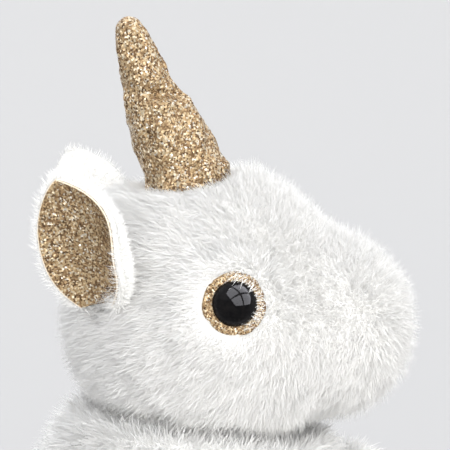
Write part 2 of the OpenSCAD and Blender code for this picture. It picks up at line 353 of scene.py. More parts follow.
BACKING = plush_backing()
FIBRES = fibre_materials()
GLITTER = glitter_material("glitter_cloth", 2.5, 0.78)
RING_GLITTER = glitter_material("glitter_ring", 3.2, 0.8)
CUT_EDGE = cloth_material("cut_edge", (0.72, 0.58, 0.42), (0.93, 0.85, 0.72), 4)
SEAT_CLOTH = cloth_material("seat_cloth", (0.80, 0.79, 0.76), (0.94, 0.93, 0.90), 2.5)
POUCH_CLOTH = cloth_material("pouch_cloth", (0.60, 0.58, 0.52), (0.82, 0.80, 0.74), 2)
THREAD = cloth_material("thread", (0.80, 0.78, 0.73), (0.95, 0.94, 0.90), 6)
EYE_BLACK = plastic_material("eye_black", (0.004, 0.004, 0.005), (0.012, 0.011, 0.011), 0.02, specular=0.06)
WASHER = plastic_material("washer_white", (0.80, 0.80, 0.77), (0.88, 0.88, 0.86), 0.4)
PELLETS = plastic_material("pellets", (0.70, 0.70, 0.72), (0.88, 0.88, 0.90), 0.35)
FILLING = filling_material()


# ---------------------------------------------------------------- forms taken from the frame

def icosphere(subdivisions):
    bm = bmesh.new()
    bmesh.ops.create_icosphere(bm, subdivisions=subdivisions, radius=1)
    verts = np.array([v.co[:] for v in bm.verts])
    faces = [[v.index for v in f.verts] for f in bm.faces]
    edges = np.array([[v.index for v in e.verts] for e in bm.edges])
    bm.free()
    return unit(verts), faces, edges


ICO = {}


def outer_radii(nodes, centre, dirs):
    """How far each ray from the centre goes before it leaves the last of the nodes, in millimetres."""
    radii = np.zeros(len(dirs))
    far = 200.0
    for name in nodes:
        me = frame["nodes"][name].data
        me.calc_loop_triangles()
        tree = BVHTree.FromPolygons([tuple(v.co) for v in me.vertices],
                                    [tuple(t.vertices) for t in me.loop_triangles])
        for i, d in enumerate(dirs):
            start = Vector((centre + d * far) * MM)
            hit = tree.ray_cast(start, Vector(-d))
            if hit[0] is not None:
                radii[i] = max(radii[i], far - hit[3] / MM)
    return radii


def relax(values, edges, count, steps):
    """Averages a value with its neighbours' over the mesh."""
    degree = np.zeros(count)
    np.add.at(degree, edges[:, 0], 1)
    np.add.at(degree, edges[:, 1], 1)
    for _ in range(steps):
        total = np.zeros_like(values)
        np.add.at(total, edges[:, 0], values[edges[:, 1]])
        np.add.at(total, edges[:, 1], values[edges[:, 0]])
        values = values * 0.5 + total / degree * 0.5
    return values


def seam_distance(points, seams):
    """How far each point is from the nearest of some polylines."""
    best = np.full(len(points), 1e3)
    for line in seams:
        for a, b in zip(line[:-1], line[1:]):
            a, b = np.asarray(a, float), np.asarray(b, float)
            t = np.clip((points - a) @ (b - a) / np.dot(b - a, b - a), 0, 1)
            best = np.minimum(best, np.linalg.norm(points - a - t[:, None] * (b - a), axis=1))
    return best


def radial_skin(name, nodes, centre, subdivisions, shape=None, steps=6, seams=()):
    """A closed skin round a centre, SKIN_INSET inside the nodes' outer surface, drawn in along its seams."""
    if subdivisions not in ICO:
        ICO[subdivisions] = icosphere(subdivisions)
    dirs, faces, edges = ICO[subdivisions]
    radii = outer_radii(nodes, centre, dirs)
    if shape:
        radii = shape(dirs, radii)
    radii = relax(radii, edges, len(dirs), steps) - SKIN_INSET
    radii = radii + 0.3 * fractal(centre + dirs * radii[:, None], 9.0)
    if seams:
        away = seam_distance(centre + dirs * radii[:, None], seams)
        radii = radii - SEAM_DEPTH * np.exp(-(away / SEAM_W) ** 2)
    ob = new_object(name, centre + dirs * radii[:, None], faces)
    ob.data.materials.append(BACKING)
    return ob


def declare(ob, body, slot, *replaced, fill=None):
    """Attaches a piece to what it rides on and hides what it replaces; its finish (slot) and fill are not
    used.
    """
    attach(ob, body)
    if replaced:
        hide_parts(*replaced)
    return ob


# ---------------------------------------------------------------- pile

def sample_surface(ob, density, rng, keep=None):
    """Even random points on an object: positions and normals."""
    co, no, tri = mesh_arrays(ob)
    a, b, c = co[tri[:, 0]], co[tri[:, 1]], co[tri[:, 2]]
    area = np.linalg.norm(np.cross(b - a, c - a), axis=1) / 2
    total = np.cumsum(area)
    count = int(total[-1] * density)
    places = (np.arange(count) + rng.random(count)) / count * total[-1]
    t = np.searchsorted(total, places)
    t = np.minimum(t, len(tri) - 1)
    u, v = rng.random(count), rng.random(count)
    flip = u + v > 1
    u[flip], v[flip] = 1 - u[flip], 1 - v[flip]
    w = 1 - u - v
    pos = a[t] * w[:, None] + b[t] * u[:, None] + c[t] * v[:, None]
    nrm = unit(no[tri[t, 0]] * w[:, None] + no[tri[t, 1]] * u[:, None] + no[tri[t, 2]] * v[:, None])
    if keep is not None:
        mask = keep(pos, nrm, rng)
        pos, nrm = pos[mask], nrm[mask]
    return pos, nrm


def nearest(points, seeds):
    """The index of the nearest seed to each point."""
    tree = KDTree(len(seeds))
    for i, s in enumerate(seeds):
        tree.insert(s, i)
    tree.balance()
    return np.array([tree.find(p)[1] for p in points])


def strands_mesh(name, levels, widths, normals, rng):
    """Closed three-sided strands through the given levels, the last of them their tip, as one mesh.

    Given normals, they are shaded as part of the surface they stand on."""
    count = len(levels[0])
    axis = unit(levels[-1] - levels[0])
    side = unit(np.cross(axis, unit(rng.normal(size=(count, 3)))))
    other = np.cross(axis, side)
    rings = len(levels) - 1
    per = 3 * rings + 1
    verts = np.empty((count, per, 3))
    for i in range(rings):
        for k in range(3):
            a = 2 * math.pi * k / 3
            out = side * math.cos(a) + other * math.sin(a)
            verts[:, 3 * i + k] = levels[i] + out * (widths * (0.5 - 0.12 * i))[:, None]
    verts[:, -1] = levels[-1]
    tris = [(0, 2, 1)]
    for k in range(3):
        n = (k + 1) % 3
        for i in range(rings - 1):
            low, high = 3 * i, 3 * i + 3
            tris += [(low + k, low + n, high + n), (low + k, high + n, high + k)]
        tris.append((3 * rings - 3 + k, 3 * rings - 3 + n, per - 1))
    tris = np.array(tris)
    index = (np.arange(count)[:, None, None] * per + tris[None]).reshape(-1)
    me = bpy.data.meshes.new(name)
    faces = count * len(tris)
    me.vertices.add(count * per)
    me.vertices.foreach_set("co", (verts * MM).reshape(-1))
    me.loops.add(faces * 3)
    me.loops.foreach_set("vertex_index", index.astype(np.int32))
    me.polygons.add(faces)
    me.polygons.foreach_set("loop_start", np.arange(0, faces * 3, 3, dtype=np.int32))
    me.polygons.foreach_set("use_smooth", np.ones(faces, dtype=bool))
    for m in FIBRES:
        me.materials.append(m)
    pick = rng.integers(0, len(FIBRES), count)
    me.polygons.foreach_set("material_index", np.repeat(pick, len(tris)).astype(np.int32))
    me.update()
    me.validate()
    if normals is not None:
        me.normals_split_custom_set_from_vertices(np.repeat(normals, per, axis=0).tolist())
    ob = bpy.data.objects.new(name, me)
    bpy.context.scene.collection.objects.link(ob)
    return ob


def grow_layer(name, body, skin, kind, guard, comb, rng, keep, length_at, seams):
    """One layer of pile: straight down, or longer guard hairs that bend and gather a little.

    Pile is shaded as part of its skin, except on the ears, where each strand is shaded as itself."""
    down, down_density, hairs, hairs_density, tousle, clump = FUR[kind]
    length, density, width = down, down_density, DOWN_W
    if guard:
        length, density, width = hairs, hairs_density, GUARD_W * (GATHERED_W if clump > GATHERED else 1)
    pos, nrm = sample_surface(skin, density, rng, keep)
    count = len(pos)
    seeds, seed_nrm = sample_surface(skin, 0.16, rng)
    tuft = nearest(pos, seeds)
    flow = comb(pos, nrm)
    flow = flow - nrm * np.sum(flow * nrm, axis=1)[:, None]
    wander = rng.normal(size=(len(seeds), 3)) * tousle
    jitter = rng.normal(size=(count, 3)) * (0.30 if guard else 0.26)
    direction = unit(nrm + flow * (0.75 if guard else 0.6) + wander[tuft] + jitter)
    reach = length * (0.7 + 0.3 * rng.random(count)) * (0.88 + 0.24 * rng.random(len(seeds))[tuft])
    if length_at is not None:
        reach = reach * length_at(pos)
    if seams:
        reach = reach * (1 - 0.35 * np.exp(-(seam_distance(pos, seams) / SEAM_W) ** 2))
    root = pos - nrm * 0.3
    widths = width * (0.75 + 0.5 * rng.random(count))
    if guard:
        mid = pos + direction * (reach * 0.55)[:, None]
        bend = unit(direction + flow * 0.3 - UP * 0.12 + rng.normal(size=(count, 3)) * 0.2)
        tip = mid + bend * (reach * 0.45)[:, None]
        tuft_tip = seeds + unit(seed_nrm + wander) * length * 0.8
        tip = tip + (tuft_tip[tuft] - tip) * (clump * rng.random(count))[:, None]
        levels = [root, mid, tip]
    else:
        levels = [root, pos + direction * reach[:, None]]
    for level in levels[1:]:
        level[:, 2] = np.maximum(level[:, 2], FLOOR_GAP)
    order = np.argsort(pos[:, 2], kind="stable")
    parts = max(1, math.ceil(count * (10 if guard else 4) / MAX_FACES))
    for i, chunk in enumerate(np.array_split(order, parts)):
        shading = None if kind == "ear" else unit(nrm + wander[tuft] * 0.9)[chunk]
        ob = strands_mesh(f"{name}_{i + 1}", [p[chunk] for p in levels], widths[chunk], shading, rng)
        declare(ob, body, "white_plush")


def grow_pile(name, body, skin, kind, comb, seed, keep=None, length_at=None, seams=()):
    """Pile on a skin: dense down, and longer guard hairs over it."""
    rng = np.random.default_rng(seed)
    grow_layer(name + "_down", body, skin, kind, False, comb, rng, keep, length_at, seams)
    grow_layer(name + "_hairs", body, skin, kind, True, comb, rng, keep, length_at, seams)


# ---------------------------------------------------------------- camera, light and floor

def make_camera():
    """A long lens on the toy's right side, a little above the head, as in the photograph."""
    head = joint_pos("neck_nod")
    target = head + np.array([0, -3.0, 19.1])
    elevation = math.radians(8)
    distance = 700.0
    field = 102.15
    cam = bpy.data.cameras.new("camera")
    cam.sensor_width = 36
    cam.lens = 36 * distance / field
    cam.clip_end = 50
    ob = bpy.data.objects.new("camera", cam)
    bpy.context.scene.collection.objects.link(ob)
    place = target + distance * np.array([-math.cos(elevation), 0, math.sin(elevation)])
    ob.location = Vector(place * MM)
    ob.rotation_euler = (Vector(target * MM) - ob.location).to_track_quat("-Z", "Y").to_euler()
    bpy.context.scene.camera = ob


def aimed_light(name, kind, place, target, energy, colour=(1, 1, 1)):
    light = bpy.data.lights.new(name, kind)
    light.energy = energy
    light.color = colour
    ob = bpy.data.objects.new(name, light)
    bpy.context.scene.collection.objects.link(ob)
    ob.location = place
    ob.rotation_euler = (Vector(target) - Vector(place)).to_track_quat("-Z", "Y").to_euler()
    return light


# Soft suns: where each shines from, its strength, its colour and its width in degrees
SUNS = {
    "sun": ((-0.45, -0.8, 0.9), 0.7, (1.0, 0.985, 0.96), 50),
    "side_sun": ((-1.0, -0.35, 0.05), 3.5, (1.0, 0.99, 0.965), 80),
    "fill_sun": ((1.0, 0.6, 0.5), 1.4, (0.98, 0.99, 1.0), 80),
}


def make_floor():
    """A pale disc that turns up into a far wall.

    It casts no shadow, so the sky lights the toy from below too."""
    flat, curve, around = 5000, 4000, 96
    turns = [math.radians(t) for t in range(10, 91, 10)]
    steps = [0, flat] + [flat + curve * math.sin(t) for t in turns]
    rises = [0, 0] + [curve * (1 - math.cos(t)) for t in turns]
    verts = [(0, 0, 0)]
    faces = []
    for r, z in zip(steps[1:], rises[1:]):
        verts += [(r * math.cos(2 * math.pi * i / around), r * math.sin(2 * math.pi * i / around), z)
                  for i in range(around)]
    for i in range(around):
        n = (i + 1) % around
        faces.append((0, 1 + i, 1 + n))
        for j in range(len(steps) - 2):
            low, high = 1 + j * around, 1 + (j + 1) * around
            faces.append((low + i, high + i, high + n, low + n))
    ob = new_object("floor", np.array(verts), faces)
    m = Nodes("floor")
    m.set(Base_Color=(0.355, 0.354, 0.357, 1), Roughness=0.9)
    ob.data.materials.append(m.mat)
    ob.visible_shadow = False


def make_light():
    """An even sky, three wide suns that leave the eyes out, and a window that shines on the eyes alone."""
    world = bpy.data.worlds.new("studio")
    world.use_nodes = True
    world.node_tree.nodes["Background"].inputs[0].default_value = (0.97, 0.98, 1.0, 1)
    world.node_tree.nodes["Background"].inputs[1].default_value = 1.72
    bpy.context.scene.world = world
    eyes, others = bpy.data.collections.new("eyes"), bpy.data.collections.new("all_but_the_eyes")
    for i, node in enumerate(("eye_left", "eye_right")):
        eyes.objects.link(frame["nodes"][node])
        others.objects.link(frame["nodes"][node])
        others.collection_objects[i].light_linking.link_state = "EXCLUDE"
    for name, (place, energy, colour, width) in SUNS.items():
        aimed_light(name, "SUN", place, (0, 0, 0), energy, colour).angle = math.radians(width)
        bpy.data.objects[name].light_linking.receiver_collection = others

    # The window's four panes, high on the toy's front right
    aim = Vector((-0.44, -0.46, 0.77))
    across = aim.cross(Vector((0, 0, 1))).normalized()
    up = across.cross(aim)
    apart = 0.31
    for i, (x, y) in enumerate(((-1, -1), (1, -1), (-1, 1), (1, 1))):
        place = Vector((0, 0, 0.11)) + aim * 0.5 + across * (apart * x) + up * (apart * y)
        pane = aimed_light(f"window_{i + 1}", "AREA", place, place - aim, 24.0, (0.93, 0.93, 1.0))
        pane.shape = "SQUARE"
        pane.size = 0.55
        ob = bpy.data.objects[f"window_{i + 1}"]
        ob.light_linking.receiver_collection = eyes
        ob.visible_camera = False
        ob.visible_diffuse = False
    bpy.context.scene.view_settings.view_transform = "Standard"


make_camera()
make_floor()
make_light()


# ---------------------------------------------------------------- shared forms

def mirrored(points):
    """A seam on the left side, and its mirror image on the right."""
    return [[(x, y, z) for x, y, z in points], [(-x, y, z) for x, y, z in points]]


def frame_of(axis, towards):
    """Two directions square to an axis, the first of them as near as can be to a given one."""
    first = unit(towards - axis * np.dot(towards, axis))
    return first, np.cross(axis, first)


def revolved(name, origin, axis, towards, profile, around, shift=None, relief=None):
    """A closed form round an axis, from (height, radius) pairs that start and end at the axis.

    relief(angle, height, radius) gives a new radius, and shift(height) moves a ring's centre."""
    first, second = frame_of(axis, towards)
    heights, radii = (np.array(c, float) for c in zip(*profile[1:-1]))
    angle = np.arange(around) * 2 * math.pi / around
    a, h = np.meshgrid(angle, heights)
    r = np.repeat(radii[:, None], around, axis=1)
    if relief is not None:
        r = relief(a, h, r)
    centres = origin + axis * heights[:, None]
    if shift is not None:
        centres = centres + shift(heights)
    ring = first * np.cos(a)[..., None] + second * np.sin(a)[..., None]
    pts = (centres[:, None] + ring * r[..., None]).reshape(-1, 3)
    ends = []
    for i in (0, -1):
        end = origin + axis * profile[i][0]
        if shift is not None:
            end = end + shift(np.array([profile[i][0]]))[0]
        ends.append(end)
    pts = np.vstack([pts, ends])
    rows = len(heights)
    faces = []
    for i in range(around):
        n = (i + 1) % around
        faces.append((rows * around, n, i))
        faces.append((rows * around + 1, (rows - 1) * around + i, (rows - 1) * around + n))
        for j in range(rows - 1):
            faces.append((j * around + i, j * around + n, (j + 1) * around + n, (j + 1) * around + i))
    return new_object(name, pts, faces)


def thick_sheet(name, grid, normal, low, high):
    """A closed sheet on a grid of points, from low to high along its normals."""
    rows, cols = grid.shape[:2]
    top, bottom = grid + normal * high, grid + normal * low
    pts = np.vstack([top.reshape(-1, 3), bottom.reshape(-1, 3)])
    n = rows * cols

    def at(i, j, under):
        return i * cols + j + (n if under else 0)

    faces = []
    for i in range(rows - 1):
        for j in range(cols - 1):
            faces.append((at(i, j, 0), at(i + 1, j, 0), at(i + 1, j + 1, 0), at(i, j + 1, 0)))
            faces.append((at(i, j, 1), at(i, j + 1, 1), at(i + 1, j + 1, 1), at(i + 1, j, 1)))
    rim = ([(i, 0) for i in range(rows)] + [(rows - 1, j) for j in range(1, cols)]
           + [(i, cols - 1) for i in range(rows - 2, -1, -1)] + [(0, j) for j in range(cols - 2, 0, -1)])
    for (i, j), (k, m) in zip(rim, rim[1:] + rim[:1]):
        faces.append((at(i, j, 0), at(i, j, 1), at(k, m, 1), at(k, m, 0)))
    return new_object(name, pts, faces)


def tube(name, path, radius, sides=8):
    """A thin tube along a path, with capped ends."""
    path = np.asarray(path, float)
    along = unit(np.gradient(path, axis=0))
    side = unit(np.cross(along, np.array([0.31, 0.17, 0.93])))
    up = np.cross(side, along)
    a = np.arange(sides) * 2 * math.pi / sides
    pts = (path[:, None] + radius * (side[:, None] * np.cos(a)[None, :, None]
                                     + up[:, None] * np.sin(a)[None, :, None])).reshape(-1, 3)
    count = len(path)
    faces = []
    for i in range(count - 1):
        for k in range(sides):
            n, j = (k + 1) % sides, i + 1
            faces.append((i * sides + k, i * sides + n, j * sides + n, j * sides + k))
    faces.append(tuple(range(sides)))
    faces.append(tuple((count - 1) * sides + k for k in reversed(range(sides))))
    return new_object(name, pts, faces)


def grooves(a, h, r, folds):
    """How deep some folds go at points of an unrolled form.

    A fold is its two ends (angle in degrees, height), its depth and its width."""
    total = np.zeros_like(r)
    for (a0, h0), (a1, h1), depth, width in folds:
        turn = (a - math.radians(a0) + math.pi) % (2 * math.pi) - math.pi
        x, y = turn * r, h - h0
        ex, ey = math.radians(a1 - a0) * r, h1 - h0
        t = np.clip((x * ex + y * ey) / (ex * ex + ey * ey), 0, 1)
        away = np.hypot(x - t * ex, y - t * ey)
        total += depth * (np.exp(-(away / width) ** 2) - 0.3 * np.exp(-((away - 2.2 * width) / width) ** 2))
    return total


# ---------------------------------------------------------------- head

HEAD = joint_pos("neck_nod")
HEAD_BOX = node_box("head_skin")
HEAD_R = (HEAD_BOX[1][0] - HEAD_BOX[0][0]) / 2
HORN = joint_pos("horn_bend")
HORN_R = (HORN - node_box("horn_cone")[0])[2]
EYE_RING_R = 7.0
EYES = {side: node_centre("eye_ring_" + side) for side in ("left", "right")}
EARS = {side: joint_pos("ear_fold_" + side) for side in ("left", "right")}

# Seams of the head's panels, from its centre: behind the cheek, and from the horn down to the eye
CHEEK_SEAM = [(18, 27, 3), (21, 25, -5), (24, 19, -13), (23.5, 14, -18), (22, 9, -22)]
CROWN_SEAM = [(9, 6, 31), (14, 5.4, 28.6), (22, 4.3, 22.2), (26.7, -0.7, 15.3)]
HEAD_SEAMS = [[tuple(HEAD + np.array(p)) for p in line]
              for seam in (CHEEK_SEAM, CROWN_SEAM) for line in mirrored(seam)]
SPOUT = unit(np.array([0, -1.0, 0.55]))          # forward and up, where pile lies over an eye's ring


def head_shape(dirs, radii):
    """Closes the pocket for the neck filling, fills out the nose and brings the backing to the eyes."""
    down = smoothstep(-0.45, -0.60, dirs[:, 2])
    radii = np.maximum(radii, HEAD_R * down)
    nose = smoothstep(0.55, 0.95, -dirs[:, 1] + 0.15 * dirs[:, 2])
    radii = radii + NOSE_OUT * nose
    for eye in EYES.values():
        height = np.linalg.norm(eye - HEAD)
        near = np.linalg.norm(dirs * height - (eye - HEAD), axis=1)
        seat = (height + SKIN_INSET - EYE_SINK) / np.maximum(dirs @ unit(eye - HEAD), 0.5)
        share = smoothstep(17.0, 6.5, near)
        radii = radii * (1 - share) + seat * share
    return radii


def round_eye(pos):
    """For each point: its distance from the nearer eye's axis, the direction away from it, and how far that
    direction is forward and up."""
    eye = np.where(pos[:, :1] > 0, EYES["left"], EYES["right"])
    axis = unit(eye - HEAD)
    rel = pos - eye
    out = rel - axis * np.sum(rel * axis, axis=1)[:, None]
    away = np.linalg.norm(out, axis=1)
    out = unit(out)
    return away, out, out @ SPOUT


def head_comb(pos, nrm):
    """Pile lies back from the nose and a little down, and parts round the eyes and the horn."""
    flow = np.tile(np.array([0.0, 1.0, -0.30]), (len(pos), 1))
    away, out, front = round_eye(pos)
    part = 0.8 * np.exp(-((away - EYE_RING_R) / 2.2) ** 2) * (1 - smoothstep(-0.2, 0.7, front) * 2.2)
    flow = flow + out * part[:, None]
    from_horn = pos - HORN
    reach = np.linalg.norm(from_horn, axis=1)
    flow = flow + unit(from_horn) * (1.6 * np.exp(-((reach - HORN_R) / 4.0) ** 2))[:, None]
    return flow


def head_keep(pos, nrm, rng):
    away, _, front = round_eye(pos)
    at_eye = away < EYE_RING_R - 0.2 - 0.6 * front
    at_horn = np.linalg.norm(pos - HORN, axis=1) < HORN_R + 0.7
    at_ear = np.minimum(*(np.linalg.norm(pos - e, axis=1) for e in EARS.values())) < 2.0
    in_neck = unit(pos - HEAD)[:, 2] < -0.80
    return ~(at_eye | at_horn | at_ear | in_neck)


def head_length(pos):
    """Pile is clipped shorter round the eyes and the horn, and left long on the crown between the ears."""
    away, _, front = round_eye(pos)
    eyes = 1 + (0.45 * smoothstep(0.0, 0.6, front) - 0.25 * smoothstep(0.6, -0.2, front)) \
        * smoothstep(EYE_RING_R + 4, EYE_RING_R - 1, away)
    horn = 0.35 + 0.65 * smoothstep(HORN_R, HORN_R + 6, np.linalg.norm(pos - HORN, axis=1))
    crown = HEAD + np.array([0, 19, 24])
    tuft = 1 + 1.1 * np.exp(-np.sum(((pos - crown) / np.array([14, 9, 9])) ** 2, axis=1))
    return eyes * horn * tuft


def make_head():
    skin = radial_skin("head_plush", ["head_skin"], HEAD, 6, head_shape, seams=HEAD_SEAMS)
    declare(skin, "head", "white_plush", "head_skin", fill=0.8)
    grow_pile("head_pile", "head", skin, "head", head_comb, 11, head_keep, head_length, HEAD_SEAMS)


# ---------------------------------------------------------------- eyes

def make_eye_ring(side):
    """A ring of glitter cloth, cut by hand, so its edge is a little uneven and notched."""
    rng = np.random.default_rng(41 + (side == "left"))
    centre = EYES[side]
    axis = unit(centre - HEAD)
    outer = EYE_RING_R
    inner = 0.66 * outer
    notches = rng.uniform(0, 2 * math.pi, 9)
    angle = np.arange(160) * 2 * math.pi / 160
    edge = outer * (1 + 0.018 * np.cos(3 * angle + 1) + 0.012 * np.cos(7 * angle))
    for n in notches:
        turn = (angle - n + math.pi) % (2 * math.pi) - math.pi
        edge -= 0.25 * np.exp(-(turn / 0.06) ** 2)
    section = [(0, -0.5), (0, 0.45), (0.15, 0.62), (0.5, 0.70),      # (share of the ring's width, height)
               (0.85, 0.55), (1, 0.35), (1, -0.1), (0.85, -0.5)]
    first, second = frame_of(axis, UP)
    spokes = first * np.cos(angle)[:, None] + second * np.sin(angle)[:, None]
    pts, faces = [], []
    for t, z in section:
        r = inner + (edge - inner) * t
        pts.append(centre + axis * z + spokes * r[:, None])
    pts = np.vstack(pts)
    count, rows = len(angle), len(section)
    for j in range(rows):
        for i in range(count):
            n, k = (i + 1) % count, (j + 1) % rows
            faces.append((j * count + i, j * count + n, k * count + n, k * count + i))
    ob = new_object("eye_ring_cloth_" + side, pts, faces)
    ob.data.materials.append(RING_GLITTER)
    declare(ob, "head", "glitter_fabric", "eye_ring_" + side)


# ---------------------------------------------------------------- horn

def horn_radius(share):
    """The horn's radius at a share of its length, as a share of its base's."""
    shares = [0.0, 0.08, 0.20, 0.33, 0.44, 0.51, 0.57, 0.68, 0.80, 0.90, 1.0]
    radii = [1.00, 0.97, 0.95, 0.90, 0.80, 0.67, 0.58, 0.55, 0.50, 0.41, 0.36]
    return np.interp(share, shares, radii)


# Folds pressed into the horn: two ends (angle from the toy's right side towards its back, height),
# depth and width
HORN_FOLDS = [
    ((62, 19.0), (20, 20.5), 1.3, 1.3), ((20, 20.5), (-65, 24.0), 0.6, 1.5),
    ((40, 16.0), (8, 0.5), 0.85, 2.2), ((75, 9.0), (45, 4.0), 0.5, 1.2),
    ((-30, 13.0), (-75, 8.0), 0.35, 1.4), ((30, 27.0), (-20, 33.0), 0.4, 1.4),
    ((130, 24.0), (190, 17.0), 0.7, 1.5), ((150, 12.0), (230, 5.0), 0.6, 1.7),
    ((220, 27.0), (265, 20.0), 0.5, 1.4),
]


def make_horn():
    verts = node_verts("horn_cone")
    far = verts[np.argmax(np.linalg.norm(verts - HORN, axis=1))]
    axis = unit(far - HORN)
    length = np.linalg.norm(far - HORN)
    back, _ = frame_of(axis, np.array([0, 1.0, 0]))
    right = np.array([-1.0, 0, 0])
    tip_r = horn_radius(1.0) * HORN_R
    rows = 150

    def shift(h):
        """The horn sags a little back, most where it is pinched."""
        u = h / length
        return back * (0.8 * smoothstep(0.05, 0.4, u) + 0.9 * np.exp(-((u - 0.56) / 0.08) ** 2))[:, None]

    def relief(a, h, r):
        first, second = frame_of(axis, right)
        place = (first * np.cos(a)[..., None] * HORN_R + second * np.sin(a)[..., None] * HORN_R
                 + axis * h[..., None])
        lumps = fractal(place.reshape(-1, 3), 5.5, 4, 3.0).reshape(a.shape)
        crumple = 1 - np.abs(fractal(place.reshape(-1, 3), 7.0, 2, 8.0).reshape(a.shape)) * 2
        body = smoothstep(length, length - 3, h)
        hem = np.clip(1 - h / 3.2, 0, 1)
        pucker = 0.45 * np.cos(9 * a + 1.2 * np.sin(2 * a)) * np.clip(1 - np.abs(h) / 6, 0, 1) ** 1.5
        seam = 0.5 * np.exp(-((a - math.pi / 2) * r / 0.6) ** 2)
        folds = grooves(a, h, r, HORN_FOLDS) + seam
        return r - folds * body + (lumps * 0.45 - crumple ** 4 * 0.25) * body + pucker + hem ** 2 * 0.8

    def profile(grow):
        out = [(-0.55 * HORN_R, 0)]
        for i in range(rows):
            h = -0.5 * HORN_R + (length + 0.5 * HORN_R) * (i + 0.5) / rows
            r = horn_radius(h / length) * HORN_R
            if h < 0:
                r = math.sqrt(max(HORN_R ** 2 - h * h, 0.1)) - 0.3
            left = length - tip_r - h
            if left < 0:
                r = min(r, math.sqrt(max(tip_r ** 2 - left * left, 0.02)))
            out.append((h, max(r + grow, 0.05)))
        return out + [(length + grow, 0)]

    def smoothed(pairs, steps=5):
        radii = [r for _, r in pairs]
        for _ in range(steps):
            inner = [(a + 2 * b + c) / 4 for a, b, c in zip(radii, radii[1:], radii[2:])]
            radii = [radii[0]] + inner + [radii[-1]]
        return [(h, r) for (h, _), r in zip(pairs, radii)]

    cloth = revolved("horn_cloth", HORN, axis, right, smoothed(profile(0)), 176, shift, relief)
    cloth.data.materials.append(GLITTER)
    declare(cloth, "horn", "glitter_fabric", "horn_cone", fill=0.7)
    inside = 2.2
    core = smoothed(profile(-inside))[::3] + [(length - inside, 0)]
    filling = revolved("horn_filling", HORN, axis, right, core, 32, shift)
    filling.data.materials.append(FILLING)
    declare(filling, "horn", "fibre_filling", "horn_stuffing")


# ---------------------------------------------------------------- ears

def make_ear(side, seed):
    """A cupped leaf: a plush back, a glitter lining and the pale cut edge between them."""
    root = EARS[side]
    across = joint_axis("ear_fold_" + side)
    across = across * np.sign(across[1])                        # towards the tail
    lining, outer = node_verts(f"ear_{side}_lining"), node_verts(f"ear_{side}_outer")
    tip = lining[np.argmax(np.linalg.norm(lining - root, axis=1))]
    along = unit((tip - root) - across * np.dot(tip - root, across))
    opening = np.cross(across, along)
    opening = opening * np.sign(np.dot(lining.mean(axis=0) - outer.mean(axis=0), opening))
    length = np.dot(tip - root, along)
    half_w = np.ptp(lining @ across) / 2

    # Each row of the leaf is bent from its spine: gently towards the tail, and round towards the front
    u, v = np.linspace(0, 1, 46), np.linspace(-1, 1, 61)
    widest = 0.42
    rise, narrow = np.clip((u - widest) / (1 - widest), 0, 1), np.clip((widest - u) / widest, 0, 1)
    taper = (1 - rise ** 2.1) ** 0.8 * (1 - 0.55 * narrow ** 2.2)
    reach = np.where(v < 0, EAR_FRONT, 1.0)[None, :] * half_w * taper[:, None]
    ease = 1 - 0.75 * smoothstep(0.35, 1.0, u)[:, None]
    turn = np.where(v > 0, 0.7 * v, -1.75 * np.abs(v) ** 1.9)[None, :] * ease
    step = (v[1] - v[0]) * reach
    aside = np.cumsum(step * np.cos(turn), axis=1)
    lift = np.cumsum(step * np.sin(turn), axis=1)
    middle = len(v) // 2
    aside -= aside[:, middle:middle + 1]
    lift -= lift[:, middle:middle + 1]
    bow = (-1.4 * np.clip(u - 0.45, 0, 1) ** 2)[:, None]
    grid = (root + (along * (length * u)[:, None])[:, None] + across * (aside - 1.3)[..., None]
            + opening * (lift + bow - 0.3)[..., None])
    grid += along * (0.5 * np.sin(v * 5 + 1) * reach / half_w * 0.4)[..., None]
    down_u, down_v = np.gradient(grid, axis=0), np.gradient(grid, axis=1)
    normal = unit(np.cross(down_u, down_v))
    normal *= np.sign(np.sum(normal[:, middle] * opening, axis=-1).mean())
    normal[-1] = normal[-2].mean(axis=0)
    grid[-1] = grid[-1].mean(axis=0)

    back = thick_sheet(f"ear_back_{side}", grid, normal, -1.1, 0.0)
    back.data.materials.append(BACKING)
    declare(back, f"ear_{side}", "white_plush", f"ear_{side}_outer", fill=0.3)
    face = thick_sheet(f"ear_lining_cloth_{side}", grid, normal, 0.05, 0.6)
    face.data.materials.append(GLITTER)
    declare(face, f"ear_{side}", "glitter_fabric", f"ear_{side}_lining")
    rim = np.vstack([grid[:, 0] + normal[:, 0] * 0.35, (grid[:-1, -1] + normal[:-1, -1] * 0.35)[::-1]])
    edge = tube(f"ear_cut_edge_{side}", rim, 0.2)
    edge.data.materials.append(CUT_EDGE)
    declare(edge, f"ear_{side}", "glitter_fabric")

    # Pile grows on the back and round the rim, but not under the lining
    flat = grid.reshape(-1, 3)
    inward = normal.reshape(-1, 3)

    def keep(pos, nrm, rng):
        return np.sum(nrm * inward[nearest(pos, flat)], axis=1) < 0.45

    def comb(pos, nrm):
        return np.tile(along, (len(pos), 1))

    grow_pile(f"ear_pile_{side}", f"ear_{side}", back, "ear", comb, seed, keep)


# ---------------------------------------------------------------- body, legs and tail

LIMB_JOINTS = {"foreleg": "shoulder", "hindleg": "hip"}


def downward(pos, nrm):
    return np.tile(-UP, (len(pos), 1))


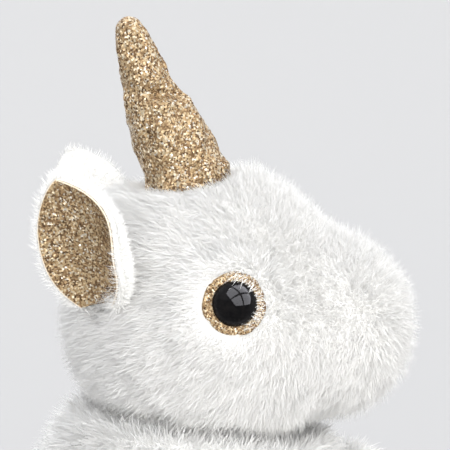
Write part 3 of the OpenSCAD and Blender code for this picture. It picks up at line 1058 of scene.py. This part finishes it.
def make_body():
    lo, hi = node_box("body_skin")
    centre = (lo + hi) / 2
    back = [(0, hi[1] - 14, hi[2] - 4), (0, hi[1] - 2.5, 55), (0, hi[1], 32), (0, hi[1] - 8, 6)]
    flanks = mirrored([(24, 4, 76), (36.5, 5, 52), (40, 7.5, 34)])
    skin = radial_skin("body_plush", ["body_skin", "seat_panel"], centre, 6, seams=[back] + flanks)
    declare(skin, "body", "white_plush", "body_skin", fill=0.75)

    def keep(pos, nrm, rng):
        under_head = np.linalg.norm(pos - HEAD, axis=1) < HEAD_R + 1.0
        in_socket = np.zeros(len(pos), bool)
        for limb, joint in LIMB_JOINTS.items():
            for side in ("left", "right"):
                radius = np.ptp(node_verts(f"{limb}_{side}_skin")[:, 0]) / 2 * 0.9
                in_socket |= np.linalg.norm(pos - joint_pos(f"{joint}_{side}"), axis=1) < radius
        return ~(under_head | in_socket | (pos[:, 2] < 2.0))

    def comb(pos, nrm):
        """Down the body, but out and up where it swells round the neck."""
        collar = np.exp(-((np.linalg.norm(pos - HEAD, axis=1) - HEAD_R) / 7.0) ** 2)[:, None]
        return -UP * (1 - collar) + (nrm * np.array([1.0, 1.0, 0]) + UP * 0.9) * collar

    grow_pile("body_pile", "body", skin, "body", comb, 12, keep, seams=[back] + flanks)


def make_hoof(name, pivot, axis):
    """A stuffed cap of glitter cloth: gathered at the cuff, with a seam round its flat sole."""
    verts = node_verts(name + "_hoof") - pivot
    along = verts @ axis
    start, end = along.min(), along.max()
    radius = np.linalg.norm(verts - along[:, None] * axis, axis=1).max()
    toe = 0.42 * radius
    wall = end - toe - start
    profile = [(start - 2.0, 0), (start - 2.0, radius - 2.6)]
    profile += [(start - 1.0, radius - 1.6), (start, radius - 0.9)]
    profile += [(start + wall * i / 14, radius - 0.15 - 0.5 * (1 - i / 14) ** 2) for i in range(1, 15)]
    profile += [(end - toe + toe * math.sin(t), radius - toe + toe * math.cos(t))
                for t in np.radians(np.linspace(10, 88, 12))]
    profile += [(end + 0.25 * (1 - s * s), (radius - toe) * s) for s in (0.85, 0.7, 0.5, 0.3, 0.12)]
    profile += [(end + 0.25, 0)]

    def relief(a, h, r):
        gather = np.clip(1 - (h - start) / 5, 0, 1.3)
        sole_seam = 0.45 * np.exp(-((h - (end - 0.25 * toe)) / 0.5) ** 2) * (r > radius - toe - 0.5)
        lumps = 0.22 * np.sin(5 * a + h * 0.5) * np.sin(h * 0.8)
        side_seam = 0.45 * np.exp(-(((a - 1.5) * r) / 0.5) ** 2) * (h < end - 0.5 * toe)
        pleats = 0.32 * np.cos(15 * a + np.sin(3 * a)) * gather
        return r + pleats - sole_seam - side_seam + lumps * (r > radius - toe)

    ob = revolved(name + "_cap", pivot, axis, UP, profile, 120, relief=relief)
    ob.data.materials.append(GLITTER)
    declare(ob, name, "glitter_fabric", name + "_hoof", fill=0.7)


def make_leg(kind, side, seed):
    name = f"{kind}_{side}"
    pivot = joint_pos(LIMB_JOINTS[kind] + "_" + side)
    hoof = node_centre(name + "_hoof")
    axis = unit(hoof - pivot)
    centre = pivot * 0.5 + hoof * 0.5
    under = UP * np.ptp(node_verts(name + "_skin")[:, 0]) * 0.42
    seam = [pivot + axis * 2 - under, centre - under]
    skin = radial_skin(name + "_plush", [name + "_skin"], centre, 5, seams=[seam])
    declare(skin, name, "white_plush", name + "_skin", fill=0.75)
    cuff = (node_verts(name + "_hoof") - pivot) @ axis

    def keep(pos, nrm, rng):
        return (pos - pivot) @ axis < cuff.min() - 0.2

    def length_at(pos):
        return 0.6 + 0.4 * smoothstep(cuff.min(), cuff.min() - 5, (pos - pivot) @ axis)

    def comb(pos, nrm):
        return np.tile(axis, (len(pos), 1))

    grow_pile(name + "_pile", name, skin, "leg", comb, seed, keep, length_at, [seam])
    make_hoof(name, pivot, axis)


def make_tail():
    centre = node_centre("tail_skin")
    skin = radial_skin("tail_plush", ["tail_skin"], centre, 5)
    declare(skin, "tail", "white_plush", "tail_skin", fill=0.6)
    grow_pile("tail_pile", "tail", skin, "tail", downward, 31)


def make_seat():
    """The round seat panel, with a row of stitches round it."""
    lo, hi = node_box("seat_panel")
    centre = (lo + hi) / 2
    radius = (hi[0] - lo[0]) / 2
    base = np.array([centre[0], centre[1], 0])
    profile = [(0.05, 0)] + [(0.05, radius * s) for s in (0.2, 0.4, 0.6, 0.8, 0.93)]
    profile += [(0.4 + 0.8 * s, radius - 0.35 * (1 - s)) for s in (0, 0.5, 1)]
    profile += [(2.6, radius - 0.2), (2.8, 0)]
    panel = revolved("seat_cloth", base, UP, np.array([1.0, 0, 0]), profile, 96)
    panel.data.materials.append(SEAT_CLOTH)
    declare(panel, "body", "white_plush", "seat_panel", fill=0.9)
    count = 64
    lift = (0.12, 0.02, 0.0, 0.02, 0.12)
    bm = bmesh.new()
    for i in range(count):
        mid = 2 * math.pi * i / count
        arc = [mid + (k - 2) * 0.010 for k in range(5)]
        path = [base + np.array([math.cos(a), math.sin(a), 0]) * (radius - 1.6) + UP * (z + 0.2)
                for a, z in zip(arc, lift)]
        stitch = tube(f"stitch_{i}", path, 0.16, 5)
        bm.from_mesh(stitch.data)
        bpy.data.objects.remove(stitch)
    me = bpy.data.meshes.new("seat_stitches")
    bm.to_mesh(me)
    bm.free()
    ob = bpy.data.objects.new("seat_stitches", me)
    bpy.context.scene.collection.objects.link(ob)
    me.materials.append(THREAD)
    declare(ob, "body", "white_plush")


make_head()
for side in ("left", "right"):
    make_eye_ring(side)
make_horn()
for i, side in enumerate(("left", "right")):
    make_ear(side, 51 + i)
make_body()
for i, side in enumerate(("left", "right")):
    make_leg("foreleg", side, 21 + i)
    make_leg("hindleg", side, 25 + i)
make_tail()
make_seat()

for name, ob in frame["nodes"].items():
    for part, mat in (("stuffing", FILLING), ("washer", WASHER), ("pouch", POUCH_CLOTH), ("pellets", PELLETS),
                      ("eye_left", EYE_BLACK), ("eye_right", EYE_BLACK)):
        if part in name:
            ob.data.materials.clear()
            ob.data.materials.append(mat)
